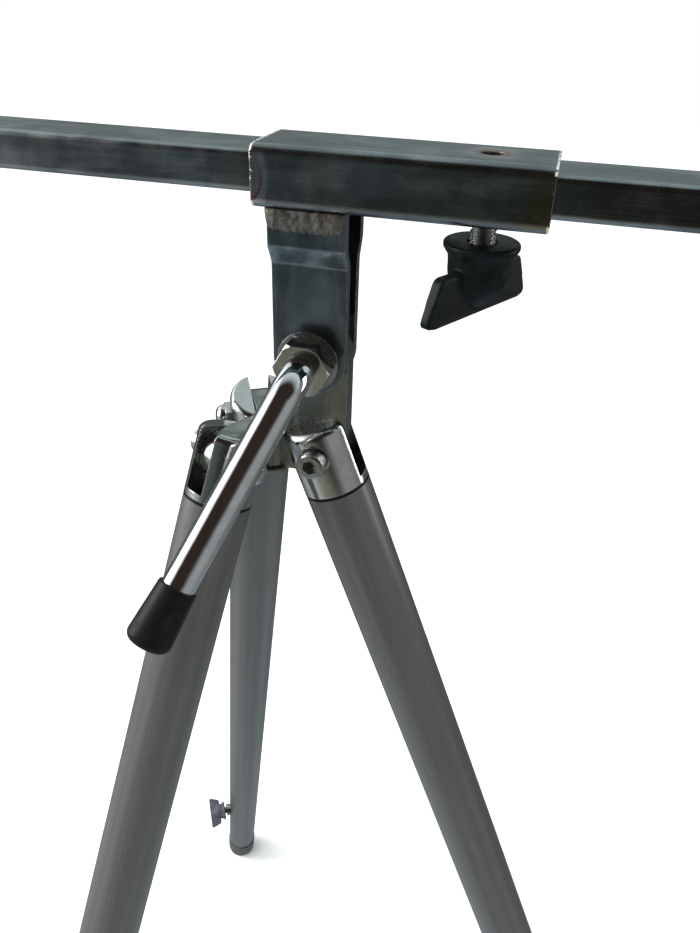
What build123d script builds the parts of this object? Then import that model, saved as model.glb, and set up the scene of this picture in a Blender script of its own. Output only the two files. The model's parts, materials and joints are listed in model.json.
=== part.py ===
from build123d import *
from math import cos, radians, sin, sqrt
import os

# A tripod easel stand with a tilting head. Three folding, telescopic legs hang from a welded hub.
# The head is a sleeve on two steel straps; it tilts on one bolt, and a lever nut locks it.
# A flat bar slides through the sleeve, and a wing screw clamps it.
# Millimetres. The origin is on the floor under the hub's axis, +X along the bar, +Z up.

os.makedirs("parts", exist_ok=True)

# Legs
splay = 20.5              # lean of a standing leg, from the vertical
leg_reach = 710.0         # from a leg's pivot to the end of its foot
tube_d = 25.0
tube_wall = 1.5
inner_tube_wall = 1.2
inner_tube_start = 140.0  # below the pivot, with the leg pushed in
glide_length = 25.0
glide_lid = 2.0
bush_length = 40.0        # the guide bush inside the lower end of a leg tube
bush_wall = 1.5
bush_flange = 2.0
foot_d = 26.5
foot_length = 39.0
foot_edge = 9.0           # radius of the foot's rounded end
foot_floor = 10.0         # rubber under the end of the inner tube

# Fork plugs
plug_top = 10.0           # above the pivot
plug_edge = 2.5
plug_floor = 2.5          # solid metal between the slot and the seal ring
spigot_length = 30.0
slot_clearance = 3.5      # between a tongue and the floor of the slot
seal_thickness = 1.2
leg_screw_d = 6.0
leg_screw_head_d = 10.0
leg_screw_head_height = 6.0
leg_screw_socket = 5.0
leg_screw_socket_depth = 3.5
leg_screw_edge = 1.0
counterbore_depth = 2.0   # of the seats of the screw's head and the nut
leg_nut_across = 10.0
leg_nut_base = 4.0
leg_nut_dome = 3.5
leg_nut_dome_d = 9.2
leg_nut_round = 3.15

# Hub
plate_thickness = 8.0
tongue_radius = 9.5       # rounded end of a tongue, about its pivot
core_d = 13.0
core_gap = 1.0            # between the core and the side of a leg that hangs straight down
core_stand = 0.5          # of the core above the tongues
core_overhang = 2.0       # of the core below the tongues
core_weld = 1.4
core_weld_radius = 1.8

# Head
head_pivot_x = 17.0
head_pivot_rise = 37.0    # above the leg pivots
strap_width = 25.0
strap_thickness = 3.5
strap_fold = 2.1
strap_ledge = 0.8         # of the sleeve's flat underside outside a strap
joggle_drop = 12.0        # from the sleeve to the top of the step
joggle_height = 6.0
sleeve_rise = 87.0        # underside of the sleeve, above the leg pivots
sleeve_start_x = 1.0
sleeve_length = 87.0
sleeve_wall = 2.0
sleeve_corner = 3.0
weld_height = 7.0
weld_crown = 0.75         # where the face of a weld bulges, as a share of its size
head_bolt_d = 10.0
head_bolt_head_height = 6.4
head_nut_across = 17.0
head_nut_height = 8.0
head_nut_floor = 0.5      # closes the nut behind the lever
head_bolt_gap = 0.5       # between the bolt's end and that floor
nut_corner = 0.05         # chamfer of a hexagon's corners, as a share of its size
head_washer_d = 21.0
head_washer_thickness = 2.0
washer_gap = 0.5

# Lever
lever_d = 11.0
lever_stub = 7.3          # from the nut's face to the corner of the bend
lever_bend = 12.0
lever_reach = 95.0        # from the corner of the bend to the end of the cap
lever_lean = 36.0         # of the rod towards the front
lever_swing = 23.5        # of the rod to the left of straight down
cap_length = 21.0
cap_top_d = 13.0
cap_end_d = 15.6
cap_edge = 3.0
cap_mouth_edge = 0.5
cap_floor = 3.0

# Bar and its clamp
bar_length = 640.0
bar_width = 25.0
bar_height = 12.0
bar_wall = 1.5
bar_corner = 2.0
bar_top_gap = 0.3         # the screw pushes the bar up in the sleeve
bar_bottom_gap = 1.7
bar_side_gap = 0.5
end_plug_flange = 2.0
end_plug_depth = 15.0
end_plug_gap = 0.2
clamp_x = 69.0
clamp_screw_d = 8.0
clamp_screw_hole_d = 6.8  # the drill came out through the top of the sleeve
clamp_grip = 12.0         # thread inside the knob
knob_drop = 7.0           # bare thread between the sleeve and the knob
knob_turn = 241.0         # azimuth of one wing of the clamp knob
knob_flange_d = 23.4
knob_hub_d = 19.6
knob_height = 22.0
knob_span = 53.0          # across the wings
knob_wing_height = 14.5
knob_wing_thickness = 4.2

# Leg clamps
leg_clamp_rise = 108.8    # above the end of the leg tube
leg_clamp_screw_d = 6.0
leg_clamp_grip = 7.0      # thread inside the knob
clamp_bush_d = 10.0
clamp_bush_height = 3.0
clamp_bush_inset = 0.2    # of its inner end in the tube's wall
leg_knob_gap = 1.5        # bare thread between the bush and the knob
leg_knob_flange_d = 16.0
leg_knob_hub_d = 13.0
leg_knob_height = 13.5
leg_knob_span = 27.0
leg_knob_wing_height = 9.0
leg_knob_wing_thickness = 3.2

# Clearances
running = 0.05            # radial, a shaft in its hole
fitted = 0.05             # radial, a plug in its tube
side_gap = 0.2            # between flat faces that turn past each other
touch_gap = 0.1           # between a clamp screw and what it presses on
counterbore_gap = 0.05    # radial, round the widest thing in a counterbore
overcut = 1.0             # of a cut past an open face

# Finish
small_edge = 0.8

tube_r = tube_d / 2
tube_bore = tube_r - tube_wall
inner_tube_r = tube_bore - bush_wall
inner_tube_length = leg_reach - foot_floor - inner_tube_start
pivot_radius = core_d / 2 + core_gap + tube_r
slot_floor = tongue_radius + slot_clearance
plug_shoulder = slot_floor + plug_floor
tube_top = plug_shoulder + seal_thickness
tube_end = leg_reach - foot_length - side_gap - bush_flange
leg_clamp_at = tube_end - leg_clamp_rise
clamp_bush_start = tube_bore + clamp_bush_inset
leg_knob_seat = clamp_bush_start + tube_wall + clamp_bush_height + leg_knob_gap
leg_screw_seat = tube_r - counterbore_depth
counterbore_r = max(leg_screw_head_d / 2, leg_nut_across / sqrt(3)) + counterbore_gap
core_top = tongue_radius + core_stand
core_bottom = tongue_radius + core_overhang
sleeve_width = bar_width + 2 * (bar_side_gap + sleeve_wall)
sleeve_height = bar_height + bar_top_gap + bar_bottom_gap + 2 * sleeve_wall
pivot_z = (
    (leg_reach - foot_edge) * cos(radians(splay))
    + (foot_d / 2 - foot_edge) * sin(radians(splay))
    + foot_edge
)
head_pivot_z = pivot_z + head_pivot_rise
sleeve_z = pivot_z + sleeve_rise
bar_top_z = sleeve_z + sleeve_height - sleeve_wall - bar_top_gap
bar_bottom_z = bar_top_z - bar_height
strap_inner = plate_thickness / 2 + side_gap
strap_outer = strap_inner + strap_thickness
strap_top = sleeve_width / 2 - sleeve_corner - strap_ledge
strap_joggle = strap_top - strap_outer
washer_r = head_bolt_d / 2 + washer_gap
washer_face = strap_outer + head_washer_thickness
nut_face = washer_face + head_nut_height
leg_azimuths = {"right": 0.0, "left": -120.0, "back": 120.0}


def export(part, name):
    part.label = name
    export_step(part, f"parts/{name}.step")


def leg_plane(azimuth):
    """At a leg's pivot: Z up the leg, X outwards, Y along the pivot screw."""
    a = radians(azimuth)
    s = radians(splay)
    pivot = (pivot_radius * cos(a), pivot_radius * sin(a), pivot_z)
    up_the_leg = (-sin(s) * cos(a), -sin(s) * sin(a), cos(s))
    outwards = (cos(s) * cos(a), cos(s) * sin(a), sin(s))
    return Plane(origin=pivot, x_dir=outwards, z_dir=up_the_leg)


def cross_plane(leg, down):
    """Facing along the pivot screw, at a distance down the leg."""
    return Plane(origin=leg.from_local_coords((0, 0, -down)), x_dir=leg.x_dir, z_dir=leg.y_dir)


def hex_nut(plane, across, height, bore_r):
    """A chamfered hexagon standing on the plane."""
    with BuildPart() as turned:
        with BuildSketch(plane):
            Circle(across / sqrt(3))
        extrude(amount=height)
        chamfer(turned.edges().filter_by(GeomType.CIRCLE), across * nut_corner)
    with BuildPart() as nut:
        with BuildSketch(plane):
            RegularPolygon(radius=across / 2, side_count=6, major_radius=False)
        extrude(amount=height)
        add(turned.part, mode=Mode.INTERSECT)
        if bore_r:
            with BuildSketch(plane):
                Circle(bore_r)
            extrude(amount=height, mode=Mode.SUBTRACT)
    return nut.part


def washer(plane, outer_d, bore_r, thickness):
    with BuildPart() as ring:
        with BuildSketch(plane):
            Circle(outer_d / 2)
            Circle(bore_r, mode=Mode.SUBTRACT)
        extrude(amount=thickness)
    return ring.part


def wing_knob(plane, flange_d, hub_d, height, span, wing_height, wing_thickness, bore_r):
    """A moulded wing knob: its flange lies on the plane and its wings point along the plane's Z."""
    hub_r = hub_d / 2
    wing_low = height - wing_height
    wing_root = span / 2 * 0.88
    rim_height = height * 0.1
    neck_height = height * 0.22
    cheek = (hub_r * 0.95, height * 0.45)
    shoulder = (hub_r * 0.72, height * 0.75)
    crown = (0, height * 0.97)
    bore_depth = height * 0.6
    side = Plane(origin=plane.origin, x_dir=plane.x_dir, z_dir=-plane.y_dir)
    with BuildPart() as knob:
        with BuildSketch(side):
            with BuildLine():
                Polyline((0, 0), (flange_d / 2, 0), (flange_d / 2, rim_height), (hub_r, neck_height), cheek)
                Spline(cheek, shoulder, crown)
                Line(crown, (0, 0))
            make_face()
        revolve(axis=Axis(plane.origin, plane.z_dir))
        with BuildSketch(side):
            Polygon(
                (-wing_root, wing_low),
                (wing_root, wing_low),
                (span / 2, height),
                (-span / 2, height),
                align=None,
            )
        extrude(amount=wing_thickness / 2, both=True)
        upright = knob.edges().filter_by(Axis(plane.origin, side.z_dir))
        upright = upright.sort_by(Axis(side.origin, side.x_dir))
        fillet(upright[0:2] + upright[-2:], wing_height * 0.15)
        with BuildSketch(plane):
            Circle(bore_r)
        extrude(amount=bore_depth, mode=Mode.SUBTRACT)
    return knob.part


# Hub: a core, one plate that also carries the head, and two tongues

def tongue_plane(azimuth):
    """Upright through the hub's axis: X outwards, Y up."""
    a = radians(azimuth)
    return Plane(origin=(0, 0, pivot_z), x_dir=(cos(a), sin(a), 0), z_dir=(sin(a), -cos(a), 0))


def core_cut():
    with BuildPart() as cut:
        with BuildSketch(Plane.XY.offset(pivot_z - core_bottom)):
            Circle(core_d / 2 + fitted)
        extrude(amount=core_bottom + core_top + fitted)
    return cut.part


def hub_tongue(azimuth):
    face = tongue_plane(azimuth)
    with BuildPart() as tongue:
        with BuildSketch(face):
            with Locations((pivot_radius / 2, 0)):
                Rectangle(pivot_radius, tongue_radius * 2)
            with Locations((pivot_radius, 0)):
                Circle(tongue_radius)
                Circle(leg_screw_d / 2 + running, mode=Mode.SUBTRACT)
        extrude(amount=plate_thickness / 2, both=True)
        add(core_cut(), mode=Mode.SUBTRACT)
    return tongue.part


def hub_plate():
    with BuildPart() as plate:
        with BuildSketch(tongue_plane(0)):
            with Locations((pivot_radius / 2, 0)):
                Rectangle(pivot_radius, tongue_radius * 2)
            with Locations((pivot_radius, 0)):
                Circle(tongue_radius)
            with Locations((head_pivot_x, head_pivot_rise / 2)):
                Rectangle(strap_width, head_pivot_rise)
            with Locations((head_pivot_x, head_pivot_rise)):
                Circle(strap_width / 2)
                Circle(head_bolt_d / 2 + running, mode=Mode.SUBTRACT)
            with Locations((pivot_radius, 0)):
                Circle(leg_screw_d / 2 + running, mode=Mode.SUBTRACT)
        extrude(amount=plate_thickness / 2, both=True)
        add(core_cut(), mode=Mode.SUBTRACT)
    return plate.part


def hub_core():
    with BuildPart() as core:
        with BuildSketch(Plane.XY.offset(pivot_z - core_bottom)):
            Circle(core_d / 2)
        extrude(amount=core_bottom + core_top)
        chamfer(core.edges().group_by(Axis.Z)[-1], small_edge)
    return core.part


def hub_weld():
    """A bead under the tongues, around the core."""
    inner = core_d / 2 + fitted
    with BuildPart() as weld:
        with BuildSketch(Plane.XZ):
            with BuildLine():
                top = Line((inner, pivot_z - tongue_radius), (inner + core_weld, pivot_z - tongue_radius))
                skin = RadiusArc(top @ 1, (inner, pivot_z - tongue_radius - core_weld), -core_weld_radius)
                Line(skin @ 1, top @ 0)
            make_face()
        revolve(axis=Axis.Z)
    return weld.part


export(hub_core(), "hub_core")
export(hub_plate(), "hub_plate")
export(hub_tongue(leg_azimuths["left"]), "hub_tongue_left")
export(hub_tongue(leg_azimuths["back"]), "hub_tongue_back")
export(hub_weld(), "hub_weld")


# Legs

def fork_plug(leg):
    """Closes the top of a leg tube; its two cheeks straddle a tongue of the hub."""
    cross = cross_plane(leg, 0)
    slot_height = slot_floor + plug_top + overcut
    with BuildPart() as plug:
        with BuildSketch(leg.offset(-plug_shoulder)):
            Circle(tube_r)
        extrude(amount=plug_shoulder + plug_top)
        top_edge = plug.edges().filter_by(GeomType.CIRCLE).sort_by(Axis(leg.origin, leg.z_dir))[-1]
        fillet(top_edge, plug_edge)
        with BuildSketch(leg.offset(-plug_shoulder)):
            Circle(tube_bore - fitted)
        extrude(amount=-spigot_length)
        with BuildSketch(cross):
            with Locations((0, slot_floor - slot_height / 2)):
                Rectangle(tube_d + 2 * overcut, slot_height)
        extrude(amount=plate_thickness / 2 + side_gap, both=True, mode=Mode.SUBTRACT)
        with BuildSketch(cross):
            Circle(leg_screw_d / 2 + running)
        extrude(amount=tube_d, both=True, mode=Mode.SUBTRACT)
        for facing in (1, -1):
            with BuildSketch(cross.offset(leg_screw_seat * facing)):
                Circle(counterbore_r)
            extrude(amount=tube_r * facing, mode=Mode.SUBTRACT)
    return plug.part


def seal_ring(leg):
    return washer(leg.offset(-tube_top), tube_d, tube_bore, seal_thickness)


def leg_screw(leg):
    """A socket head screw through the fork, its head on the leg's clockwise side."""
    seat = cross_plane(leg, 0).offset(-leg_screw_seat)
    with BuildPart() as screw:
        with BuildSketch(seat):
            Circle(leg_screw_head_d / 2)
        extrude(amount=-leg_screw_head_height)
        head_edge = screw.edges().filter_by(GeomType.CIRCLE).sort_by(Axis(leg.origin, leg.y_dir))[0]
        fillet(head_edge, leg_screw_edge)
        with BuildSketch(seat.offset(-leg_screw_head_height)):
            RegularPolygon(radius=leg_screw_socket / 2, side_count=6, major_radius=False)
        extrude(amount=leg_screw_socket_depth, mode=Mode.SUBTRACT)
        with BuildSketch(seat):
            Circle(leg_screw_d / 2)
        extrude(amount=leg_screw_seat * 2 + leg_nut_base)
    return screw.part


def leg_nut(leg):
    """A domed nut on the end of the leg screw."""
    seat = cross_plane(leg, 0).offset(leg_screw_seat)
    with BuildPart() as nut:
        with BuildSketch(seat):
            RegularPolygon(radius=leg_nut_across / 2, side_count=6, major_radius=False)
        extrude(amount=leg_nut_base)
        with BuildSketch(seat.offset(leg_nut_base)):
            Circle(leg_nut_dome_d / 2)
        extrude(amount=leg_nut_dome)
        dome_edge = nut.edges().filter_by(GeomType.CIRCLE).sort_by(Axis(leg.origin, leg.y_dir))[-1]
        fillet(dome_edge, leg_nut_round)
        with BuildSketch(seat):
            Circle(leg_screw_d / 2 + fitted)
        extrude(amount=leg_nut_base + fitted, mode=Mode.SUBTRACT)
    return nut.part


def leg_tube(leg):
    with BuildPart() as tube:
        with BuildSketch(leg.offset(-tube_end)):
            Circle(tube_r)
            Circle(tube_bore, mode=Mode.SUBTRACT)
        extrude(amount=tube_end - tube_top)
        with BuildSketch(cross_plane(leg, leg_clamp_at)):
            Circle(clamp_bush_d / 2 + fitted)
        extrude(amount=tube_r, mode=Mode.SUBTRACT)
    return tube.part


def clamp_bush(leg):
    """The threaded bush that is set in the wall of the leg tube."""
    with BuildPart() as bush:
        with BuildSketch(cross_plane(leg, leg_clamp_at).offset(clamp_bush_start)):
            Circle(clamp_bush_d / 2)
            Circle(leg_clamp_screw_d / 2 + running, mode=Mode.SUBTRACT)
        extrude(amount=tube_wall + clamp_bush_height)
    return bush.part


def guide_bush(leg):
    """A plastic bush in the lower end of the leg tube, round the inner tube."""
    with BuildPart() as bush:
        with BuildSketch(leg.offset(-tube_end)):
            Circle(tube_bore - fitted)
        extrude(amount=bush_length)
        with BuildSketch(leg.offset(-tube_end)):
            Circle(tube_r)
        extrude(amount=-bush_flange)
        with BuildSketch(leg.offset(-tube_end - bush_flange)):
            Circle(inner_tube_r + running)
        extrude(amount=bush_length + bush_flange, mode=Mode.SUBTRACT)
    return bush.part


def inner_tube(leg):
    with BuildPart() as tube:
        with BuildSketch(leg.offset(foot_floor - leg_reach)):
            Circle(inner_tube_r)
            Circle(inner_tube_r - inner_tube_wall, mode=Mode.SUBTRACT)
        extrude(amount=inner_tube_length)
    return tube.part


def glide(leg):
    """The plastic end piece of the inner tube, which centres it in the leg tube."""
    with BuildPart() as piece:
        with BuildSketch(leg.offset(glide_lid - inner_tube_start)):
            Circle(tube_bore - running)
        extrude(amount=-glide_length)
        with BuildSketch(leg.offset(-inner_tube_start)):
            Circle(inner_tube_r + fitted)
        extrude(amount=-glide_length, mode=Mode.SUBTRACT)
    return piece.part


def foot(leg):
    with BuildPart() as rubber:
        with BuildSketch(leg.offset(-leg_reach)):
            Circle(foot_d / 2)
        extrude(amount=foot_length)
        rims = rubber.edges().filter_by(GeomType.CIRCLE).sort_by(Axis(leg.origin, leg.z_dir))
        fillet(rims[0], foot_edge)
        fillet(rims[-1], small_edge)
        with BuildSketch(leg.offset(foot_floor - leg_reach)):
            Circle(inner_tube_r)
        extrude(amount=foot_length, mode=Mode.SUBTRACT)
    return rubber.part


def leg_clamp_screw(leg):
    start = inner_tube_r + touch_gap
    with BuildPart() as screw:
        with BuildSketch(cross_plane(leg, leg_clamp_at).offset(start)):
            Circle(leg_clamp_screw_d / 2)
        extrude(amount=leg_knob_seat + leg_clamp_grip - start)
    return screw.part


def leg_clamp_knob(leg):
    """The wings stand across the leg."""
    return wing_knob(
        cross_plane(leg, leg_clamp_at).offset(leg_knob_seat),
        leg_knob_flange_d,
        leg_knob_hub_d,
        leg_knob_height,
        leg_knob_span,
        leg_knob_wing_height,
        leg_knob_wing_thickness,
        leg_clamp_screw_d / 2 + fitted,
    )


for side, azimuth in leg_azimuths.items():
    leg = leg_plane(azimuth)
    export(fork_plug(leg), f"fork_plug_{side}")
    export(seal_ring(leg), f"seal_ring_{side}")
    export(leg_screw(leg), f"leg_screw_{side}")
    export(leg_nut(leg), f"leg_nut_{side}")
    export(leg_tube(leg), f"leg_tube_{side}")
    export(clamp_bush(leg), f"clamp_bush_{side}")
    export(guide_bush(leg), f"guide_bush_{side}")
    export(inner_tube(leg), f"inner_tube_{side}")
    export(glide(leg), f"glide_{side}")
    export(foot(leg), f"foot_{side}")
    export(leg_clamp_screw(leg), f"leg_clamp_screw_{side}")
    export(leg_clamp_knob(leg), f"leg_clamp_knob_{side}")


# Head

def strap(facing):
    """A flat steel strap, stepped outwards under the sleeve; facing is -1 in front, 1 behind."""
    step_top = sleeve_z - joggle_drop
    step_bottom = step_top - joggle_height
    bottom = head_pivot_z - strap_width / 2
    inner = strap_inner * facing
    outer = strap_outer * facing
    shift = strap_joggle * facing
    with BuildPart() as piece:
        with BuildSketch(Plane.YZ.offset(head_pivot_x)):
            Polygon(
                (inner, bottom),
                (outer, bottom),
                (outer, step_bottom),
                (outer + shift, step_top),
                (outer + shift, sleeve_z),
                (inner + shift, sleeve_z),
                (inner + shift, step_top),
                (inner, step_bottom),
                align=None,
            )
        extrude(amount=strap_width / 2, both=True)
        folds = piece.edges().filter_by(Axis.X).group_by(Axis.Z)
        fillet(folds[1] + folds[2], strap_fold)
        with BuildSketch(Plane.XZ):
            with Locations((head_pivot_x, (head_pivot_z + sleeve_z) / 2)):
                Rectangle(strap_width, sleeve_z - head_pivot_z)
            with Locations((head_pivot_x, head_pivot_z)):
                Circle(strap_width / 2)
                Circle(head_bolt_d / 2 + running, mode=Mode.SUBTRACT)
        extrude(amount=sleeve_width, both=True, mode=Mode.INTERSECT)
    return piece.part


def sleeve():
    middle_z = sleeve_z + sleeve_height / 2
    with BuildPart() as tube:
        with BuildSketch(Plane.YZ.offset(sleeve_start_x)):
            with Locations((0, middle_z)):
                RectangleRounded(sleeve_width, sleeve_height, sleeve_corner)
                RectangleRounded(
                    sleeve_width - 2 * sleeve_wall,
                    sleeve_height - 2 * sleeve_wall,
                    sleeve_corner - sleeve_wall,
                    mode=Mode.SUBTRACT,
                )
        extrude(amount=sleeve_length)
        with BuildSketch(Plane.XY.offset(sleeve_z)):
            with Locations((clamp_x, 0)):
                Circle(clamp_screw_d / 2 + running)
        extrude(amount=sleeve_wall, mode=Mode.SUBTRACT)
        with BuildSketch(Plane.XY.offset(sleeve_z + sleeve_height)):
            with Locations((clamp_x, 0)):
                Circle(clamp_screw_hole_d / 2)
        extrude(amount=-sleeve_wall, mode=Mode.SUBTRACT)
    return tube.part


def head_welds():
    """Two fillet welds, outside the tops of the straps."""
    weld_reach = strap_ledge + sleeve_corner / 2
    with BuildPart() as welds:
        for facing in (-1, 1):
            face = strap_top * facing
            end = (strap_top + weld_reach) * facing
            crown = (strap_top + weld_reach * weld_crown) * facing
            with BuildSketch(Plane.YZ.offset(head_pivot_x)):
                Polygon(
                    (face, sleeve_z),
                    (end, sleeve_z),
                    (crown, sleeve_z - weld_height * weld_crown),
                    (face, sleeve_z - weld_height),
                    align=None,
                )
            extrude(amount=strap_width / 2, both=True)
    return welds.part


def head_bolt():
    """A hexagon bolt from behind; its thread ends in the lever nut."""
    tip_y = head_nut_floor + head_bolt_gap - nut_face
    seat = Plane(origin=(head_pivot_x, washer_face, head_pivot_z), x_dir=(1, 0, 0), z_dir=(0, 1, 0))
    head = hex_nut(seat, head_nut_across, head_bolt_head_height, 0)
    with BuildPart() as bolt:
        add(head)
        with BuildSketch(seat):
            Circle(head_bolt_d / 2)
        extrude(amount=tip_y - washer_face)
    return bolt.part


def front_plane(y):
    """Facing the front, on the head's pivot axis."""
    return Plane(origin=(head_pivot_x, y, head_pivot_z), x_dir=(1, 0, 0), z_dir=(0, -1, 0))


export(strap(-1), "strap_front")
export(strap(1), "strap_back")
export(sleeve(), "sleeve")
export(head_welds(), "head_welds")
export(head_bolt(), "head_bolt")
export(
    washer(front_plane(-strap_outer), head_washer_d, washer_r, head_washer_thickness),
    "head_washer_front",
)
export(
    washer(front_plane(washer_face), head_washer_d, washer_r, head_washer_thickness),
    "head_washer_back",
)


# Lever nut

def lever_nut():
    """A nut that is closed by the lever, which is welded on its face."""
    plane = front_plane(-washer_face)
    with BuildPart() as nut:
        add(hex_nut(plane, head_nut_across, head_nut_height, 0))
        with BuildSketch(plane):
            Circle(head_bolt_d / 2 + running)
        extrude(amount=head_nut_height - head_nut_floor, mode=Mode.SUBTRACT)
    return nut.part


lean = radians(lever_lean)
swing = radians(lever_swing)
lever_dir = Vector(-sin(swing) * cos(lean), -sin(lean), -cos(swing) * cos(lean))
lever_foot = Vector(head_pivot_x, -nut_face, head_pivot_z)
lever_corner = lever_foot + Vector(0, -lever_stub, 0)
cap_tip = lever_corner + lever_dir * lever_reach
rod_tip = cap_tip - lever_dir * cap_floor


def lever_rod():
    with BuildPart() as rod:
        with BuildLine():
            FilletPolyline(lever_foot, lever_corner, rod_tip, radius=lever_bend)
        with BuildSketch(Plane(origin=lever_foot, z_dir=(0, -1, 0))):
            Circle(lever_d / 2)
        sweep()
    return rod.part


def lever_cap():
    """A rubber cap that widens towards its rounded end."""
    mouth = Plane(origin=cap_tip - lever_dir * cap_length, z_dir=lever_dir)
    with BuildPart() as cap:
        with BuildSketch(mouth):
            Circle(cap_top_d / 2)
        with BuildSketch(mouth.offset(cap_length)):
            Circle(cap_end_d / 2)
        loft()
        rims = cap.edges().filter_by(GeomType.CIRCLE).sort_by(Axis(mouth.origin, mouth.z_dir))
        fillet(rims[-1], cap_edge)
        fillet(rims[0], cap_mouth_edge)
        with BuildSketch(mouth):
            Circle(lever_d / 2)
        extrude(amount=cap_length - cap_floor, mode=Mode.SUBTRACT)
    return cap.part


export(lever_nut(), "lever_nut")
export(lever_rod(), "lever_rod")
export(lever_cap(), "lever_cap")


# Bar

def crossbar():
    with BuildPart() as bar:
        with BuildSketch(Plane.YZ):
            with Locations((0, bar_top_z - bar_height / 2)):
                RectangleRounded(bar_width, bar_height, bar_corner)
                RectangleRounded(
                    bar_width - 2 * bar_wall,
                    bar_height - 2 * bar_wall,
                    bar_corner - bar_wall,
                    mode=Mode.SUBTRACT,
                )
        extrude(amount=bar_length / 2, both=True)
    return bar.part


def bar_end_plug(facing):
    """A plastic plug in an end of the bar; facing is -1 on the left, 1 on the right."""
    end = Plane.YZ.offset(bar_length / 2 * facing)
    centre = (0, bar_top_z - bar_height / 2)
    hollow = bar_wall + end_plug_gap
    with BuildPart() as plug:
        with BuildSketch(end):
            with Locations(centre):
                RectangleRounded(bar_width, bar_height, bar_corner)
        extrude(amount=end_plug_flange * facing)
        rim = plug.faces().sort_by(Axis.X)[0 if facing < 0 else -1].edges()
        fillet(rim, small_edge)
        with BuildSketch(end):
            with Locations(centre):
                Rectangle(bar_width - 2 * hollow, bar_height - 2 * hollow)
        extrude(amount=-end_plug_depth * facing)
    return plug.part


def clamp_screw():
    bottom = sleeve_z - knob_drop - clamp_grip
    with BuildPart() as screw:
        with BuildSketch(Plane.XY.offset(bottom)):
            with Locations((clamp_x, 0)):
                Circle(clamp_screw_d / 2)
        extrude(amount=bar_bottom_z - touch_gap - bottom)
    return screw.part


def clamp_knob():
    turn = radians(knob_turn)
    seat = Plane(
        origin=(clamp_x, 0, sleeve_z - knob_drop),
        x_dir=(cos(turn), sin(turn), 0),
        z_dir=(0, 0, -1),
    )
    return wing_knob(
        seat,
        knob_flange_d,
        knob_hub_d,
        knob_height,
        knob_span,
        knob_wing_height,
        knob_wing_thickness,
        clamp_screw_d / 2 + fitted,
    )


export(crossbar(), "crossbar")
export(bar_end_plug(-1), "bar_end_plug_left")
export(bar_end_plug(1), "bar_end_plug_right")
export(clamp_screw(), "clamp_screw")
export(clamp_knob(), "clamp_knob")
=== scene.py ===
import json
import math

import bmesh
import bpy
from mathutils import Matrix, Vector, noise

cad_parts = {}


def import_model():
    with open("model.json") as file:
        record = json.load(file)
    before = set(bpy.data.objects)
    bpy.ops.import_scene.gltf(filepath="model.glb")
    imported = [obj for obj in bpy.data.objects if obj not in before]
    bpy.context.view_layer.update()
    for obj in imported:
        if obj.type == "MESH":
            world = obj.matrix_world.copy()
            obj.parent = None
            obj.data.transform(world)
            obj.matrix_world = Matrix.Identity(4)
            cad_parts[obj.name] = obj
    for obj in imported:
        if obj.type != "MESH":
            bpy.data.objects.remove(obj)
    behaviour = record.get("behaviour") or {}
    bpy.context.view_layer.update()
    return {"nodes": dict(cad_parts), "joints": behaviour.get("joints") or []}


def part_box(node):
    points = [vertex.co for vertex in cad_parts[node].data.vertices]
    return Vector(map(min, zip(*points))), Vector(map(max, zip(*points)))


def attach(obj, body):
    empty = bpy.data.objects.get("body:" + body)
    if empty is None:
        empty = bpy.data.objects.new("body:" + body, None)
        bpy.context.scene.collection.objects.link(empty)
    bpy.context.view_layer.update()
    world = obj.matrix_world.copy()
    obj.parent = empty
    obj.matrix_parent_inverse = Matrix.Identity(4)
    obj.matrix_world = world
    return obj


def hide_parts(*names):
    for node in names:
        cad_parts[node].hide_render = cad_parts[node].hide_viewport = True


# The looks of a tripod easel stand: plated flat steel, chrome fittings, satin aluminium legs
# and black moulded knobs. Metres, in the frame's own axes: +X along the bar, +Z up.

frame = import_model()
nodes = frame["nodes"]
joints = {joint["name"]: joint for joint in frame["joints"]}
MM = 0.001
X_AXIS, Y_AXIS, Z_AXIS = (1, 0, 0), (0, 1, 0), (0, 0, 1)
SIDES = ("right", "left", "back")


def place(joint):
    return Vector(joints[joint]["pos_m"])


def direction(joint):
    return Vector(joints[joint]["axis"]).normalized()


head_pivot = place("head_tilt")
hub_centre = Vector((0, 0, place("leg_fold_right").z))
sleeve_low, sleeve_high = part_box("sleeve")
sleeve_middle = (sleeve_low + sleeve_high) / 2
screw_low, screw_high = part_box("clamp_screw")
screw_axis = (screw_low + screw_high) / 2


# Node materials. Noise lies between 0 and 1 and mostly near 0.5, so a ramp from about 0.3 to 0.7
# uses all of it, and a ramp that starts higher leaves separate spots.

# Cosines between the true normal and the rounded one: where wear starts, and where it is full.
UNWORN_COSINE, WORN_COSINE = 0.985, 0.90


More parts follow.
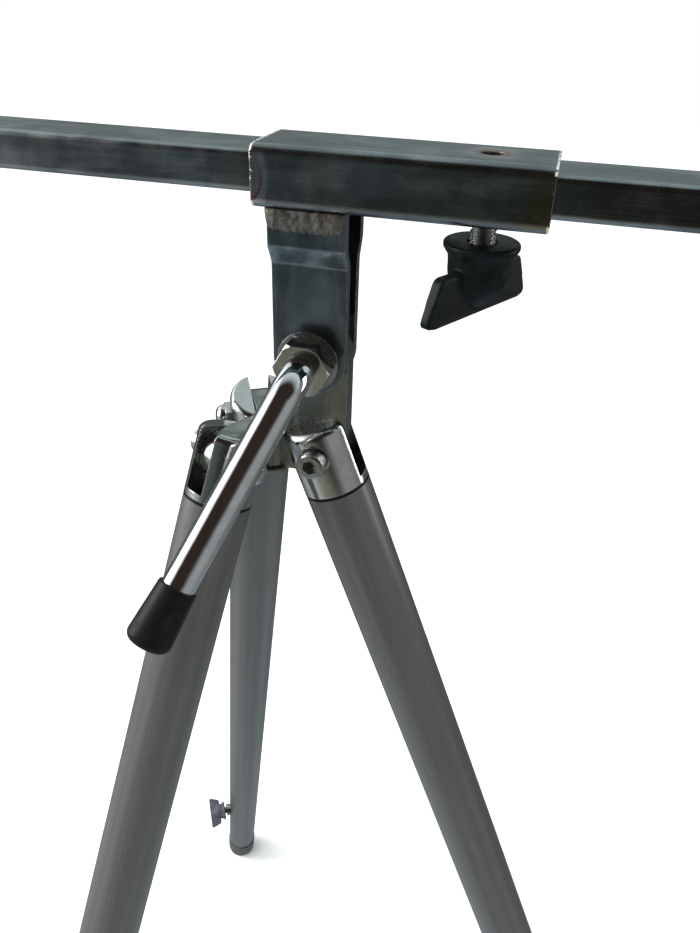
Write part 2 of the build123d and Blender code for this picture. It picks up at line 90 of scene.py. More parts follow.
class Graph:
    """A material with one Principled shader; its methods add nodes and return their outputs."""

    def __init__(self, name, **sockets):
        self.material = bpy.data.materials.new(name)
        self.material.use_nodes = True
        self.nodes = self.material.node_tree.nodes
        self.links = self.material.node_tree.links
        self.nodes.clear()
        self.shader = self.nodes.new("ShaderNodeBsdfPrincipled")
        output = self.nodes.new("ShaderNodeOutputMaterial")
        self.links.new(self.shader.outputs["BSDF"], output.inputs["Surface"])
        for socket, value in sockets.items():
            self.shader.inputs[socket.replace("_", " ")].default_value = value
        self.point = self.nodes.new("ShaderNodeTexCoord").outputs["Object"]

    def feed(self, socket, value):
        """A link if the value is a node's output, and a plain number or colour otherwise."""
        if isinstance(value, bpy.types.NodeSocket):
            self.links.new(value, socket)
        elif value is not None:
            socket.default_value = value

    def math(self, operation, a, b=None):
        node = self.nodes.new("ShaderNodeMath")
        node.operation = operation
        self.feed(node.inputs[0], a)
        self.feed(node.inputs[1], b)
        return node.outputs[0]

    def add(self, a, b):
        return self.math("ADD", a, b)

    def subtract(self, a, b):
        return self.math("SUBTRACT", a, b)

    def multiply(self, a, b):
        return self.math("MULTIPLY", a, b)

    def hypotenuse(self, a, b):
        return self.math("SQRT", self.add(self.multiply(a, a), self.multiply(b, b)))

    def dot(self, a, b):
        node = self.nodes.new("ShaderNodeVectorMath")
        node.operation = "DOT_PRODUCT"
        self.feed(node.inputs[0], a)
        self.feed(node.inputs[1], b)
        return node.outputs["Value"]

    def along(self, axis):
        """Distance from the origin along an axis."""
        return self.dot(self.point, tuple(axis))

    def stretched(self, axis, long, wide):
        """Coordinates for streaks along an axis: their length and width in metres set the scale."""
        axis = Vector(axis).normalized()
        side = axis.orthogonal().normalized()
        over = axis.cross(side)
        combine = self.nodes.new("ShaderNodeCombineXYZ")
        for socket, unit, size in zip(combine.inputs, (axis, side, over), (long, wide, wide)):
            self.feed(socket, self.multiply(self.along(unit), 1 / size))
        return combine.outputs[0]

    def noise(self, size=None, vector=None, detail=2.0, roughness=0.5, distortion=0.0):
        """Noise with features of a size in metres, or in the units of the vector."""
        node = self.nodes.new("ShaderNodeTexNoise")
        node.inputs["Scale"].default_value = 1 / size if size else 1.0
        node.inputs["Detail"].default_value = detail
        node.inputs["Roughness"].default_value = roughness
        node.inputs["Distortion"].default_value = distortion
        self.feed(node.inputs["Vector"], vector or self.point)
        return node.outputs["Fac"]

    def ramp(self, value, low, high, start=0.0, end=1.0):
        """Maps low..high of the value to start..end, smoothly and clamped."""
        node = self.nodes.new("ShaderNodeMapRange")
        node.interpolation_type = "SMOOTHSTEP"
        self.feed(node.inputs["Value"], value)
        for socket, number in (("From Min", low), ("From Max", high), ("To Min", start), ("To Max", end)):
            node.inputs[socket].default_value = number
        return node.outputs["Result"]

    def mix(self, factor, a, b, blend="MIX"):
        node = self.nodes.new("ShaderNodeMix")
        node.data_type = "RGBA"
        node.blend_type = blend
        self.feed(node.inputs[0], factor)
        self.feed(node.inputs[6], rgba(a))
        self.feed(node.inputs[7], rgba(b))
        return node.outputs[2]

    def bevelled(self, radius):
        """The surface normal with its sharp edges rounded off."""
        node = self.nodes.new("ShaderNodeBevel")
        node.samples = 4
        node.inputs["Radius"].default_value = radius
        return node.outputs[0]

    def worn_edges(self, radius, patch):
        """1 along the sharp edges, broken up into patches of that size, and 0 elsewhere."""
        geometry = self.nodes.new("ShaderNodeNewGeometry")
        aligned = self.dot(self.bevelled(radius), geometry.outputs["Normal"])
        edge = self.ramp(aligned, UNWORN_COSINE, WORN_COSINE)
        return self.multiply(edge, self.ramp(self.noise(patch), 0.38, 0.60))

    def bump(self, height, depth, normal=None):
        node = self.nodes.new("ShaderNodeBump")
        node.inputs["Strength"].default_value = 1.0
        node.inputs["Distance"].default_value = depth
        self.feed(node.inputs["Height"], height)
        self.feed(node.inputs["Normal"], normal)
        return node.outputs[0]

    def finish(self, colour, roughness, normal=None):
        self.feed(self.shader.inputs["Base Color"], rgba(colour))
        self.feed(self.shader.inputs["Roughness"], roughness)
        self.feed(self.shader.inputs["Normal"], normal)
        return self.material


def rgba(colour):
    return (*colour, 1.0) if isinstance(colour, tuple) and len(colour) == 3 else colour


def scaled(colour, factor, lift=0.0):
    return tuple(factor * channel + lift for channel in colour)


def plated_base(graph, axis):
    """Zinc plated flat steel, brushed along the axis, with clouds, stains, dull patches and pale pits."""
    deep, pale = (0.25, 0.285, 0.295), (0.35, 0.38, 0.385)
    stained, dull, pitted = (0.33, 0.32, 0.27), (0.12, 0.135, 0.135), (0.55, 0.56, 0.55)
    brushed = graph.noise(vector=graph.stretched(axis, 30 * MM, 0.22 * MM), detail=4)
    clouds = graph.noise(11 * MM, detail=3, distortion=0.6)
    stains = graph.noise(26 * MM)
    patches = graph.noise(vector=graph.stretched(axis, 34 * MM, 9 * MM), detail=3, distortion=0.5)
    pits = graph.ramp(graph.noise(0.55 * MM), 0.69, 0.78)

    colour = graph.mix(graph.ramp(clouds, 0.3, 0.7), deep, pale)
    colour = graph.mix(graph.ramp(stains, 0.52, 0.75, 0.0, 0.5), colour, stained)
    colour = graph.mix(graph.ramp(patches, 0.42, 0.62, 0.0, 0.6), colour, dull)
    colour = graph.mix(graph.multiply(pits, 0.25), colour, pitted)

    roughness = graph.add(graph.ramp(brushed, 0.3, 0.7, 0.15, 0.23), graph.ramp(clouds, 0.3, 0.7, 0.0, 0.07))
    roughness = graph.add(roughness, graph.multiply(pits, 0.2))
    height = graph.subtract(graph.multiply(brushed, 0.3), graph.multiply(pits, 0.5))
    return colour, roughness, height


def plated_steel(name, axis, tint=(1.0, 1.0, 1.0)):
    """The plated steel with its edges rubbed bright."""
    rubbed = (0.72, 0.70, 0.62)
    graph = Graph(name, Metallic=1.0)
    colour, roughness, height = plated_base(graph, axis)
    colour = graph.mix(1.0, colour, tint, "MULTIPLY")
    worn = graph.worn_edges(0.5 * MM, 2.5 * MM)
    colour = graph.mix(graph.multiply(worn, 0.7), colour, rubbed)
    roughness = graph.add(roughness, graph.multiply(worn, 0.12))
    return graph.finish(colour, roughness, graph.bump(height, 0.012 * MM, graph.bevelled(0.35 * MM)))


def heat_arc(graph, colour, x, z, ripple, on_front):
    """Adds burnt, magenta and lilac bands round a spot at the sleeve's left end."""
    burnt_brown, magenta, lilac = (0.42, 0.385, 0.36), (0.34, 0.07, 0.24), (0.60, 0.62, 0.72)
    half_width, half_height = 4.2 * MM, 8 * MM
    across = graph.math("DIVIDE", graph.subtract(x, sleeve_low.x), half_width)
    upward = graph.math("DIVIDE", graph.subtract(z, sleeve_middle.z), half_height)
    arc = graph.add(graph.hypotenuse(across, upward), graph.multiply(graph.subtract(ripple, 0.5), 0.16))

    halo = graph.multiply(graph.ramp(arc, 1.5, 1.1), on_front)
    burnt = graph.multiply(graph.ramp(arc, 0.95, 0.8), on_front)
    line = graph.multiply(graph.ramp(arc, 0.7, 0.8), graph.ramp(arc, 0.94, 0.84))
    lower = graph.ramp(z, sleeve_middle.z + 5 * MM, sleeve_middle.z)
    line = graph.multiply(line, graph.multiply(on_front, lower))
    colour = graph.mix(graph.multiply(halo, 0.6), colour, lilac)
    colour = graph.mix(graph.multiply(burnt, 0.9), colour, burnt_brown)
    return graph.mix(graph.multiply(line, 0.7), colour, magenta)


def hole_scorch(graph, x, y, ripple, on_top):
    """1 near the drilled hole over the clamp screw, fading to 0 some way out."""
    reach = graph.hypotenuse(graph.subtract(x, screw_axis.x), graph.subtract(y, screw_axis.y))
    reach = graph.add(reach, graph.multiply(graph.subtract(ripple, 0.5), 5 * MM))
    return graph.multiply(graph.ramp(reach, 10 * MM, 4 * MM), on_top)


def torn_ends(graph, x, z):
    """1 on the torn spots at the sleeve's two cut ends, which are denser near its corners."""

    def from_ends(value, low, high):
        """Distance to the nearer of two ends."""
        return graph.math("MINIMUM", graph.subtract(value, low), graph.subtract(high, value))

    end = graph.ramp(from_ends(x, sleeve_low.x, sleeve_high.x), 1.0 * MM, 0.3 * MM)
    corner = graph.ramp(from_ends(z, sleeve_low.z, sleeve_high.z), 3.2 * MM, 1.6 * MM)
    chips = graph.add(graph.noise(1.3 * MM), graph.multiply(corner, 0.22))
    return graph.multiply(end, graph.ramp(chips, 0.60, 0.70))


def sleeve_steel():
    """The plated steel with heat tints on its front, a scorched rim round the hole and torn ends."""
    scorch_brown, straw_brown, torn_bright = (0.075, 0.048, 0.032), (0.26, 0.21, 0.12), (0.80, 0.78, 0.71)
    graph = Graph("sleeve_plated_steel", Metallic=1.0)
    colour, roughness, height = plated_base(graph, X_AXIS)
    x, y, z = (graph.along(axis) for axis in (X_AXIS, Y_AXIS, Z_AXIS))
    ripple = graph.noise(5 * MM)
    on_front = graph.ramp(y, sleeve_low.y + 0.6 * MM, sleeve_low.y + 0.2 * MM)
    on_top = graph.ramp(z, sleeve_high.z - 0.5 * MM, sleeve_high.z - 0.1 * MM)

    colour = heat_arc(graph, colour, x, z, ripple, on_front)
    scorched = hole_scorch(graph, x, y, ripple, on_top)
    colour = graph.mix(graph.multiply(scorched, 0.95), colour, scorch_brown)
    straw = graph.add(x, graph.multiply(ripple, 8 * MM))
    straw = graph.multiply(graph.ramp(straw, sleeve_high.x - 7 * MM, sleeve_high.x), on_front)
    colour = graph.mix(graph.multiply(straw, 0.75), colour, straw_brown)

    torn = torn_ends(graph, x, z)
    worn = graph.math("MAXIMUM", torn, graph.multiply(graph.worn_edges(0.5 * MM, 2.5 * MM), 0.5))
    colour = graph.mix(worn, colour, torn_bright)
    roughness = graph.add(roughness, graph.multiply(worn, 0.15))
    height = graph.add(height, graph.multiply(torn, 4.0))
    oxide = graph.math("MAXIMUM", graph.multiply(torn, 0.6), graph.multiply(scorched, 0.8))
    graph.feed(graph.shader.inputs["Metallic"], graph.subtract(1.0, oxide))
    return graph.finish(colour, roughness, graph.bump(height, 0.02 * MM, graph.bevelled(0.5 * MM)))


def chrome(name, colour, rough):
    """Polished chrome with smears, a slight swell and a few fine scratches."""
    graph = Graph(name, Metallic=1.0)
    smears = graph.noise(7 * MM, detail=4, distortion=1.0)
    scratches = graph.noise(vector=graph.stretched((0.3, 0.5, 0.8), 9 * MM, 0.12 * MM), detail=3)
    swell = graph.noise(5 * MM, detail=1)
    shade = graph.mix(graph.ramp(smears, 0.35, 0.75, 0.0, 0.6), colour, scaled(colour, 0.8))
    roughness = graph.add(
        graph.ramp(smears, 0.4, 0.75, rough, rough + 0.09),
        graph.ramp(scratches, 0.62, 0.75, 0.0, 0.12),
    )
    height = graph.add(swell, graph.multiply(scratches, 0.02))
    return graph.finish(shade, roughness, graph.bump(height, 0.05 * MM, graph.bevelled(0.3 * MM)))


def zinc():
    """Bright zinc on screws, bolts and washers, clouded and finely grained."""
    bright = (0.52, 0.53, 0.51)
    graph = Graph("zinc_fastener", Metallic=1.0)
    clouds = graph.noise(2.5 * MM, detail=3)
    grain = graph.noise(0.25 * MM)
    shade = graph.mix(graph.ramp(clouds, 0.35, 0.7), bright, scaled(bright, 0.68))
    roughness = graph.ramp(grain, 0.3, 0.7, 0.18, 0.36)
    return graph.finish(shade, roughness, graph.bump(grain, 0.012 * MM, graph.bevelled(0.25 * MM)))


def drawn_aluminium(name, axis):
    """Satin anodised tube with drawing lines along it, rubbed patches and painted reflection bands: darker
    streaks along it.
    """
    deep, pale = (0.118, 0.119, 0.113), (0.157, 0.157, 0.150)
    painted_band_shade, dulled = (0.097, 0.097, 0.092), (0.100, 0.096, 0.088)
    graph = Graph(name, Metallic=0.5)
    lines = graph.noise(vector=graph.stretched(axis, 60 * MM, 0.35 * MM), detail=4)
    # Mask for painted reflection bands: streaks along the tube that stand in for reflected room light.
    bands = graph.noise(vector=graph.stretched(axis, 400 * MM, 5 * MM), detail=1)
    grain = graph.noise(0.16 * MM)
    rubbed = graph.noise(vector=graph.stretched(axis, 45 * MM, 12 * MM), detail=3, distortion=0.4)
    colour = graph.mix(graph.ramp(lines, 0.3, 0.7), deep, pale)
    # Painted shade: darker streaks along the tube, in place of the soft bands of light that a round tube
    # reflects.
    colour = graph.mix(graph.ramp(bands, 0.35, 0.65, 0.0, 0.45), colour, painted_band_shade)
    colour = graph.mix(graph.ramp(rubbed, 0.5, 0.78, 0.0, 0.35), colour, dulled)
    roughness = graph.add(graph.ramp(lines, 0.3, 0.7, 0.27, 0.37), graph.ramp(bands, 0.3, 0.7, 0.0, 0.06))
    height = graph.add(graph.multiply(lines, 0.7), graph.multiply(grain, 0.3))
    return graph.finish(colour, roughness, graph.bump(height, 0.014 * MM, graph.bevelled(0.3 * MM)))


def weld_steel():
    """Bare weld metal, brushed once while hot: brown and straw colours, scale and small pores."""
    deep, pale = (0.11, 0.108, 0.095), (0.22, 0.218, 0.20)
    straw_brown, sooty = (0.17, 0.125, 0.085), (0.05, 0.042, 0.035)
    graph = Graph("weld_steel", Metallic=0.85)
    swirl = graph.noise(3.2 * MM, detail=5, distortion=2.2)
    pores = graph.ramp(graph.noise(0.8 * MM), 0.62, 0.72)
    scale = graph.noise(6 * MM, detail=3)
    colour = graph.mix(graph.ramp(swirl, 0.35, 0.65), deep, pale)
    colour = graph.mix(graph.ramp(scale, 0.52, 0.72, 0.0, 0.5), colour, straw_brown)
    colour = graph.mix(graph.multiply(pores, 0.6), colour, sooty)
    roughness = graph.ramp(swirl, 0.35, 0.65, 0.38, 0.62)
    height = graph.subtract(swirl, graph.multiply(pores, 0.5))
    return graph.finish(colour, roughness, graph.bump(height, 0.16 * MM))


def moulded(name, colour, rough, grain_size=0.3 * MM, depth=0.02 * MM):
    """Plastic or rubber with a fine spark-eroded grain, scuffed places and specks of dust."""
    scuffed = scaled(colour, 1.7, 0.002)
    dusty = scaled(colour, 3, 0.015)
    graph = Graph(name, IOR=1.5, Specular_IOR_Level=0.12)
    grain = graph.noise(grain_size, detail=3, roughness=0.6)
    scuffs = graph.noise(6 * MM, detail=4, distortion=0.8)
    dust = graph.ramp(graph.noise(0.7 * MM), 0.68, 0.74)
    shade = graph.mix(graph.ramp(scuffs, 0.45, 0.75, 0.0, 0.8), colour, scuffed)
    shade = graph.mix(graph.multiply(dust, 0.25), shade, dusty)
    roughness = graph.add(
        graph.ramp(grain, 0.3, 0.7, rough - 0.05, rough + 0.05),
        graph.ramp(scuffs, 0.45, 0.75, 0.0, 0.12),
    )
    return graph.finish(shade, roughness, graph.bump(grain, depth, graph.bevelled(0.3 * MM)))


# Meshes

def link_object(name, data):
    item = bpy.data.objects.new(name, data)
    bpy.context.scene.collection.objects.link(item)
    return item


def new_piece(name, bm, material, body, replaced):
    """A smooth-shaded object from a bmesh; it rides on a body and stands for CAD nodes."""
    bmesh.ops.recalc_face_normals(bm, faces=bm.faces)
    mesh = bpy.data.meshes.new(name)
    bm.to_mesh(mesh)
    bm.free()
    mesh.shade_smooth()
    piece = link_object(name, mesh)
    mesh.materials.append(material)
    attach(piece, body)
    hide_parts(*replaced)


def grid_faces(bm, rings, close_rings=False):
    """Quads between neighbouring rings of vertices; each ring is closed."""
    pairs = list(zip(rings, rings[1:]))
    if close_rings:
        pairs.append((rings[-1], rings[0]))
    for near, far in pairs:
        for i in range(len(near)):
            j = (i + 1) % len(near)
            bm.faces.new((near[i], near[j], far[j], far[i]))


def threaded_rod(name, start, end, radius, pitch, material, body, replaced):
    """A screw thread from start to end: a vee groove that winds along a rod with chamfered ends."""
    around, per_pitch = 40, 10
    depth = 0.61 * pitch
    groove_half = 0.44
    turn = (end - start).to_track_quat("Z", "Y").to_matrix()
    length = (end - start).length
    steps = round(length / pitch * per_pitch)
    bm = bmesh.new()
    rings = []
    for step in range(steps + 1):
        z = length * step / steps
        chamfer = min(z, length - z, depth)
        ring = []
        for i in range(around):
            share = (z / pitch - i / around) % 1.0
            groove = max(0.0, 1.0 - abs(share - 0.5) / groove_half)
            r = min(radius - depth * groove, radius - depth + chamfer)
            angle = 2 * math.pi * i / around
            ring.append(bm.verts.new(start + turn @ Vector((r * math.cos(angle), r * math.sin(angle), z))))
        rings.append(ring)
    grid_faces(bm, rings)
    bm.faces.new(rings[0])
    bm.faces.new(rings[-1])
    new_piece(name, bm, material, body, replaced)


def revolved(bm, profile):
    """A closed profile of (radius, height) points turned about Z."""
    segments = 72
    rings = []
    for i in range(segments):
        angle = 2 * math.pi * i / segments
        rings.append([bm.verts.new((r * math.cos(angle), r * math.sin(angle), z)) for r, z in profile])
    grid_faces(bm, rings, close_rings=True)


def rounded_outline(corners):
    """Outline with round corners; each corner is (x, z, radius)."""
    steps = 6
    points = []
    for i, (x, z, radius) in enumerate(corners):
        here = Vector((x, z))
        before = Vector(corners[i - 1][:2]) - here
        after = Vector(corners[(i + 1) % len(corners)][:2]) - here
        half = before.angle(after) / 2
        cut = min(radius / math.tan(half), before.length / 2, after.length / 2)
        first = here + before.normalized() * cut
        last = here + after.normalized() * cut
        for k in range(steps + 1):
            t = k / steps
            points.append(first * (1 - t) ** 2 + here * 2 * t * (1 - t) + last * t ** 2)
    return points


def knob_profile(size):
    """Half section of a knob's turned middle, from its flange to its rounded tip and back up the bore."""
    height = size["height"]
    flange, hub, bore = size["flange"] / 2, size["hub"] / 2, size["bore"]
    tip_steps = 10
    tip = [
        (hub * (1 - 0.7 * share ** 2.2), height * (0.34 + 0.56 * share))
        for share in (k / tip_steps for k in range(1, tip_steps + 1))
    ]
    return [
        (bore * 1.1, 0.0),
        (flange * 0.96, 0.0),
        (flange, height * 0.02),
        (flange, height * 0.075),
        (hub * 1.02, height * 0.19),
        (hub, height * 0.3),
        *tip,
        (hub * 0.2, height * 0.92),
        (hub * 0.2, height * 0.62),
        (bore, height * 0.6),
        (bore, height * 0.04),
    ]


def wing_slab(bm, size):
    """Both wings as one plate in XZ with slanting ends, thicker at the root than at the tips."""
    height, reach = size["height"], size["span"] / 2
    wing_top = height - size["wing_height"]
    outline = rounded_outline([
        (-reach * 0.76, wing_top, height * 0.14),
        (reach * 0.76, wing_top, height * 0.14),
        (reach, height, height * 0.12),
        (-reach, height, height * 0.12),
    ])
    sides = []
    for side in (-1, 1):
        ring = []
        for p in outline:
            half = (size["root"] + (size["tip"] - size["root"]) * min(1.0, abs(p.x) / reach)) / 2
            ring.append(bm.verts.new((p.x, side * half, p.y)))
        sides.append(ring)
    grid_faces(bm, sides)
    bm.faces.new(sides[0])
    bm.faces.new(sides[1])


def one_skin(bm, name, voxel):
    """Merges overlapping closed shapes into one smooth skin, and returns it as a new bmesh."""
    bmesh.ops.recalc_face_normals(bm, faces=bm.faces)
    mesh = bpy.data.meshes.new(name)
    bm.to_mesh(mesh)
    bm.free()
    blank = link_object(name, mesh)
    remesh = blank.modifiers.new("Remesh", "REMESH")
    remesh.mode = "VOXEL"
    remesh.voxel_size = voxel
    soften = blank.modifiers.new("Soften", "SMOOTH")
    soften.factor = 0.5
    soften.iterations = 7
    evaluated = blank.evaluated_get(bpy.context.evaluated_depsgraph_get())
    skin = bmesh.new()
    skin.from_mesh(evaluated.to_mesh())
    evaluated.to_mesh_clear()
    bpy.data.objects.remove(blank)
    return skin


def wing_knob(name, seat, axis, across, size, material, body, replaced):
    """A moulded wing knob. Its flange lies at the seat, and it hangs along the axis with its wings across."""
    blank = bmesh.new()
    revolved(blank, knob_profile(size))
    wing_slab(blank, size)
    moulding = one_skin(blank, name + "_rough", size["height"] / 64)
    z = Vector(axis).normalized()
    x = Vector(across).normalized()
    turn = Matrix((x, z.cross(x), z)).transposed().to_4x4()
    bmesh.ops.transform(moulding, matrix=Matrix.Translation(seat) @ turn, verts=moulding.verts)
    new_piece(name, moulding, material, body, replaced)


def bead(bm, left, right, wall, out, leg, drop, seed):
    """A fillet weld from left to right in the corner under a face, with two closed ends.

    wall: how far out the standing plate's face lies; leg: the bead's width on the face above;
    drop: its height down the plate; seed: gives each bead its own lumps.
    """
    rows, columns, ripples = 72, 14, 11
    sunk = 0.15 * MM
    span = right - left
    up = Vector(Z_AXIS)
    rings = []
    for i in range(rows + 1):
        u = i / rows
        centre = left + span * u
        closing = max(0.12, (1 - abs(2 * u - 1) ** 14)) ** 0.5
        ripple = math.sin(2 * math.pi * (u * ripples + 0.35 * noise.noise(Vector((u * 7, seed, 0)))))
        low = drop * closing * (1 + 0.10 * noise.noise(Vector((u * 9, seed, 3))) + 0.03 * ripple)
        wide = leg * closing * (1 + 0.12 * noise.noise(Vector((u * 11, seed, 7))))
        ring = []
        for k in range(columns + 1):
            v = k / columns
            angle = math.pi / 2 * v
            bulge = math.sin(2 * angle)
            lump = noise.noise(Vector((u * 16, v * 5, seed + 11)))
            y = wide * math.cos(angle) ** 0.8 * (1 + 0.14 * bulge) + 0.16 * MM * lump * bulge
            z = low * math.sin(angle) ** 0.8 + 0.10 * MM * ripple * bulge
            ring.append(bm.verts.new(centre + out * (y + wall) - up * z))
        ring.append(bm.verts.new(centre + out * (wall - sunk) - up * low * 0.9))
        ring.append(bm.verts.new(centre + out * (wall - sunk)))
        rings.append(ring)
    grid_faces(bm, rings)
    bm.faces.new(rings[0])
    bm.faces.new(rings[-1])


# Materials on the CAD nodes

def paint(material, *names):
    for name in names:
        mesh = nodes[name].data
        mesh.materials.clear()
        mesh.materials.append(material)


chrome_fitting = chrome("chrome_fitting", (0.66, 0.66, 0.65), 0.12)
chrome_lever = chrome("chrome_lever", (0.86, 0.87, 0.89), 0.03)
chrome_nut = chrome("chrome_nut", (0.64, 0.64, 0.60), 0.07)
zinc_fastener = zinc()
black_plastic = moulded("black_plastic", (0.004, 0.006, 0.0065), 0.36)
black_rubber = moulded("black_rubber", (0.006, 0.006, 0.007), 0.42, 0.5 * MM, 0.012 * MM)
foot_rubber = moulded("foot_rubber", (0.075, 0.077, 0.076), 0.55, 0.4 * MM)
blue_grey_plastic = moulded("blue_grey_plastic", (0.055, 0.062, 0.075), 0.42)
weld_metal = weld_steel()


def paint_head_and_hub():
    cool, warm = (0.92, 1.0, 1.14), (1.05, 1.0, 0.88)
    paint(sleeve_steel(), "sleeve")
    paint(plated_steel("bar_plated_steel", X_AXIS), "crossbar")
    paint(plated_steel("strap_plated_steel", Z_AXIS, cool), "strap_front", "strap_back")
    hub_steel = plated_steel("hub_plated_steel", Z_AXIS, warm)
    paint(hub_steel, "hub_plate", "hub_core", "hub_tongue_left", "hub_tongue_back")
    paint(weld_metal, "hub_weld")
    paint(zinc_fastener, "head_bolt", "head_washer_front", "head_washer_back")
    paint(chrome_nut, "lever_nut")
    paint(chrome_lever, "lever_rod")
    paint(black_rubber, "lever_cap")
    paint(black_plastic, "bar_end_plug_left", "bar_end_plug_right")


def paint_leg(side):
    aluminium = drawn_aluminium(f"aluminium_{side}", direction(f"leg_extend_{side}"))
    paint(aluminium, f"leg_tube_{side}", f"inner_tube_{side}")
    paint(chrome_fitting, f"fork_plug_{side}", f"leg_nut_{side}")
    paint(zinc_fastener, f"leg_screw_{side}", f"clamp_bush_{side}")
    paint(black_rubber, f"seal_ring_{side}")
    paint(black_plastic, f"guide_bush_{side}", f"glide_{side}")
    paint(foot_rubber, f"foot_{side}")


# Pieces with more shape than their CAD nodes

def head_weld_beads():
    """The fillet welds between the straps and the sleeve, one in front and one behind."""
    weld_low, weld_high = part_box("head_welds")
    strap_outer = -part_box("strap_front")[0].y
    past_end = 0.3 * MM
    bm = bmesh.new()
    for seed, facing in ((2, -1), (5, 1)):
        bead(
            bm,
            left=Vector((weld_low.x - past_end, 0, weld_high.z)),
            right=Vector((weld_high.x + past_end, 0, weld_high.z)),
            wall=strap_outer,
            out=Vector((0, facing, 0)),
            leg=weld_high.y - strap_outer,
            drop=weld_high.z - weld_low.z,
            seed=seed,
        )
    new_piece("head_weld_beads", bm, weld_metal, "head", ["head_welds"])


CLAMP_KNOB = {
    "height": 22 * MM, "span": 53 * MM, "flange": 23.4 * MM, "hub": 19.6 * MM, "bore": 4.3 * MM,
    "wing_height": 14.5 * MM, "root": 5.2 * MM, "tip": 3.2 * MM,
}
LEG_KNOB = {
    "height": 13.5 * MM, "span": 27 * MM, "flange": 16 * MM, "hub": 13 * MM, "bore": 3.2 * MM,
    "wing_height": 9 * MM, "root": 4.0 * MM, "tip": 2.6 * MM,
}
CLAMP_PITCH = 1.25 * MM
LEG_CLAMP_PITCH = 1.0 * MM
LEG_CLAMP_RADIUS = 3.0 * MM


def clamp_knob():
    """The wing knob under the sleeve."""
    azimuth = math.radians(241)
    knob_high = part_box("clamp_knob")[1]
    wing_knob(
        "clamp_knob_moulding",
        Vector((screw_axis.x, screw_axis.y, knob_high.z)),
        (0, 0, -1),
        (math.cos(azimuth), math.sin(azimuth), 0),
        CLAMP_KNOB,
        black_plastic,
        "clamp_knob",
        ["clamp_knob"],
    )


def clamp_screw():
    """The M8 screw that the wing knob turns."""
    threaded_rod(
        "clamp_screw_thread",
        Vector((screw_axis.x, screw_axis.y, screw_low.z)),
        Vector((screw_axis.x, screw_axis.y, screw_high.z)),
        (screw_high.x - screw_low.x) / 2,
        CLAMP_PITCH,
        zinc_fastener,
        "clamp_screw",
        ["clamp_screw"],
    )


def extent(name, origin, axis):
    """Nearest and furthest reach of a CAD node from an origin along an axis."""
    reaches = [(v.co - origin).dot(axis) for v in nodes[name].data.vertices]
    return min(reaches), max(reaches)


def leg_clamp(side):
    """The small M6 wing screw near the lower end of a leg."""
    origin = place(f"leg_clamp_turn_{side}")
    outwards = direction(f"leg_clamp_turn_{side}")
    knob_start = extent(f"leg_clamp_knob_{side}", origin, outwards)[0]
    wing_knob(
        f"leg_clamp_moulding_{side}",
        origin + outwards * knob_start,
        outwards,
        outwards.cross(direction(f"leg_extend_{side}")),
        LEG_KNOB,
        blue_grey_plastic,
        f"leg_clamp_{side}",
        [f"leg_clamp_knob_{side}"],
    )
    start, end = extent(f"leg_clamp_screw_{side}", origin, outwards)
    threaded_rod(
        f"leg_clamp_thread_{side}",
        origin + outwards * start,
        origin + outwards * end,
        LEG_CLAMP_RADIUS,
        LEG_CLAMP_PITCH,
        zinc_fastener,
        f"leg_clamp_{side}",
        [f"leg_clamp_screw_{side}"],
    )


# Studio

def floor():
    """A pale floor that polished pieces don't mirror."""
    half = 6.0
    pale, paler = (0.86, 0.86, 0.86), (0.90, 0.90, 0.90)
    mesh = bpy.data.meshes.new("floor")
    corners = [(-half, -half, 0), (half, -half, 0), (half, half, 0), (-half, half, 0)]
    mesh.from_pydata(corners, [], [(0, 1, 2, 3)])
    plane = link_object("floor", mesh)
    graph = Graph("pale_floor")
    clouds = graph.noise(0.4, detail=3)
    mesh.materials.append(graph.finish(graph.mix(clouds, pale, paler), 0.8))
    plane.visible_glossy = False


def area_light(name, position, target, width, height, power):
    data = bpy.data.lights.new(name, "AREA")
    data.shape = "RECTANGLE"
    data.size = width
    data.size_y = height
    data.energy = power
    light = link_object(name, data)
    light.location = position
    light.rotation_mode = "QUATERNION"
    light.rotation_quaternion = (Vector(target) - Vector(position)).to_track_quat("-Z", "Y")


def sky_light():
    """A wide soft light from above, in front and a little to the left, even over the whole floor."""
    data = bpy.data.lights.new("sky_light", "SUN")
    data.energy = 3.4
    data.angle = math.radians(50)
    light = link_object("sky_light", data)
    light.visible_glossy = False
    light.rotation_mode = "QUATERNION"
    light.rotation_quaternion = Vector((0.25, 0.5, -1.0)).to_track_quat("-Z", "Y")


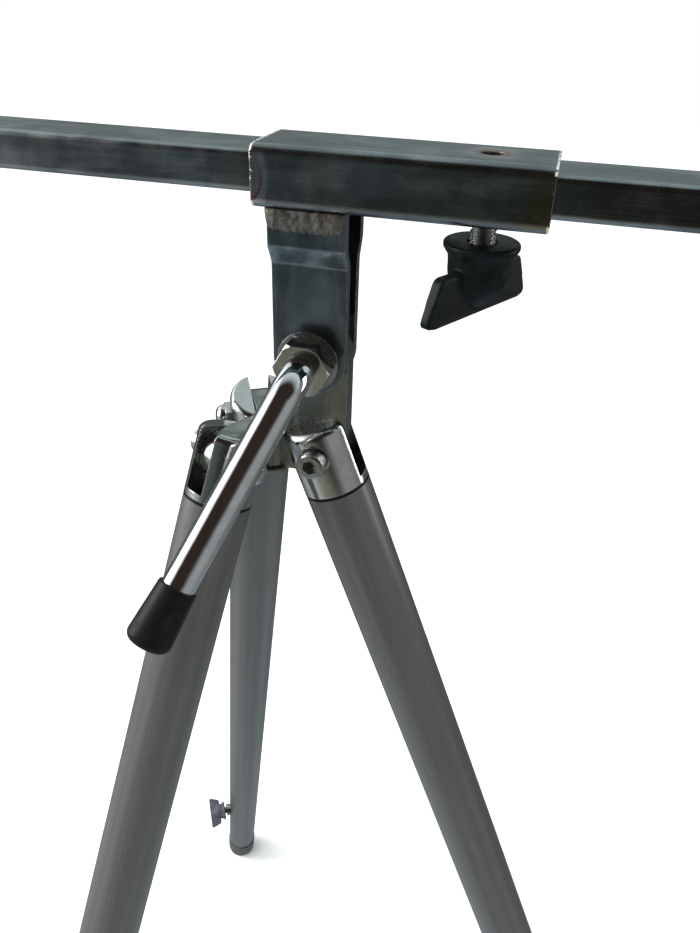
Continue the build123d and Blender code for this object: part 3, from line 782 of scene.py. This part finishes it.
def world():
    """A white backdrop; reflections see a room with a pale ceiling, grey sides and a dim front and back."""
    room = bpy.data.worlds.new("studio")
    bpy.context.scene.world = room
    room.use_nodes = True
    tree = room.node_tree
    tree.nodes.clear()
    link = tree.links.new

    def node(kind):
        return tree.nodes.new(kind)

    split = node("ShaderNodeSeparateXYZ")
    link(node("ShaderNodeTexCoord").outputs["Generated"], split.inputs[0])

    def blend(axis, low, high, a, b):
        """Colour a where a direction points less than low along the axis, and b where more than high."""
        share = node("ShaderNodeMapRange")
        share.interpolation_type = "SMOOTHSTEP"
        link(split.outputs[axis], share.inputs["Value"])
        share.inputs["From Min"].default_value = low
        share.inputs["From Max"].default_value = high
        mix = node("ShaderNodeMix")
        mix.data_type = "RGBA"
        link(share.outputs["Result"], mix.inputs[0])
        for socket, value in ((mix.inputs[6], a), (mix.inputs[7], b)):
            if isinstance(value, bpy.types.NodeSocket):
                link(value, socket)
            else:
                socket.default_value = rgba(value)
        return mix.outputs[2]

    side_walls = blend("X", -0.6, 0.5, (0.52, 0.53, 0.53), (0.30, 0.31, 0.31))
    walls = blend("Y", -0.2, 0.5, side_walls, (0.09, 0.10, 0.10))
    front_shade = blend("X", -0.42, 0.12, (0.085, 0.105, 0.112), (0.020, 0.022, 0.017))
    front_wall = blend("Z", -0.5, -0.22, (0.22, 0.22, 0.17), front_shade)
    all_walls = blend("Y", -0.90, -0.55, front_wall, walls)
    below = blend("Z", -0.95, -0.6, (0.36, 0.43, 0.48), all_walls)
    ceiling = blend("Y", -0.40, 0.1, (0.030, 0.022, 0.018), (0.54, 0.62, 0.63))
    ceiling = blend("X", -0.8, -0.5, (1.5, 1.5, 1.5), ceiling)
    dome = blend("Z", 0.05, 0.4, below, ceiling)

    room_light = node("ShaderNodeBackground")
    link(dome, room_light.inputs["Color"])
    backdrop = node("ShaderNodeBackground")
    backdrop.inputs["Color"].default_value = (1, 1, 1, 1)
    seen = node("ShaderNodeMixShader")
    link(node("ShaderNodeLightPath").outputs["Is Camera Ray"], seen.inputs[0])
    link(room_light.outputs[0], seen.inputs[1])
    link(backdrop.outputs[0], seen.inputs[2])
    link(seen.outputs[0], node("ShaderNodeOutputWorld").inputs["Surface"])


def camera():
    """In front of the head, a little above it and to its right, looking down at the hub."""
    eye = hub_centre + Vector((89.2, -239.3, 146.3)) * MM
    heading, dip, roll = (math.radians(angle) for angle in (-13.78, 31.91, 1.99))
    forward = Vector((math.sin(heading) * math.cos(dip), math.cos(heading) * math.cos(dip), -math.sin(dip)))
    data = bpy.data.cameras.new("camera")
    data.sensor_width = 36.0
    data.lens = 30.35
    data.clip_start = 0.01
    view = link_object("camera", data)
    view.location = eye
    view.rotation_mode = "QUATERNION"
    level = forward.to_track_quat("-Z", "Y")
    view.rotation_quaternion = Matrix.Rotation(-roll, 3, forward).to_quaternion() @ level
    bpy.context.scene.camera = view


paint_head_and_hub()
for side in SIDES:
    paint_leg(side)

head_weld_beads()
clamp_knob()
clamp_screw()
for side in SIDES:
    leg_clamp(side)

floor()
world()
camera()
sky_light()
area_light("left_softbox", (-1.6, -0.3, 1.2), head_pivot, 0.8, 1.3, 26)
area_light("right_strip", (1.4, 0.6, 1.0), head_pivot, 0.3, 1.4, 6)
bpy.context.scene.view_settings.view_transform = "Standard"
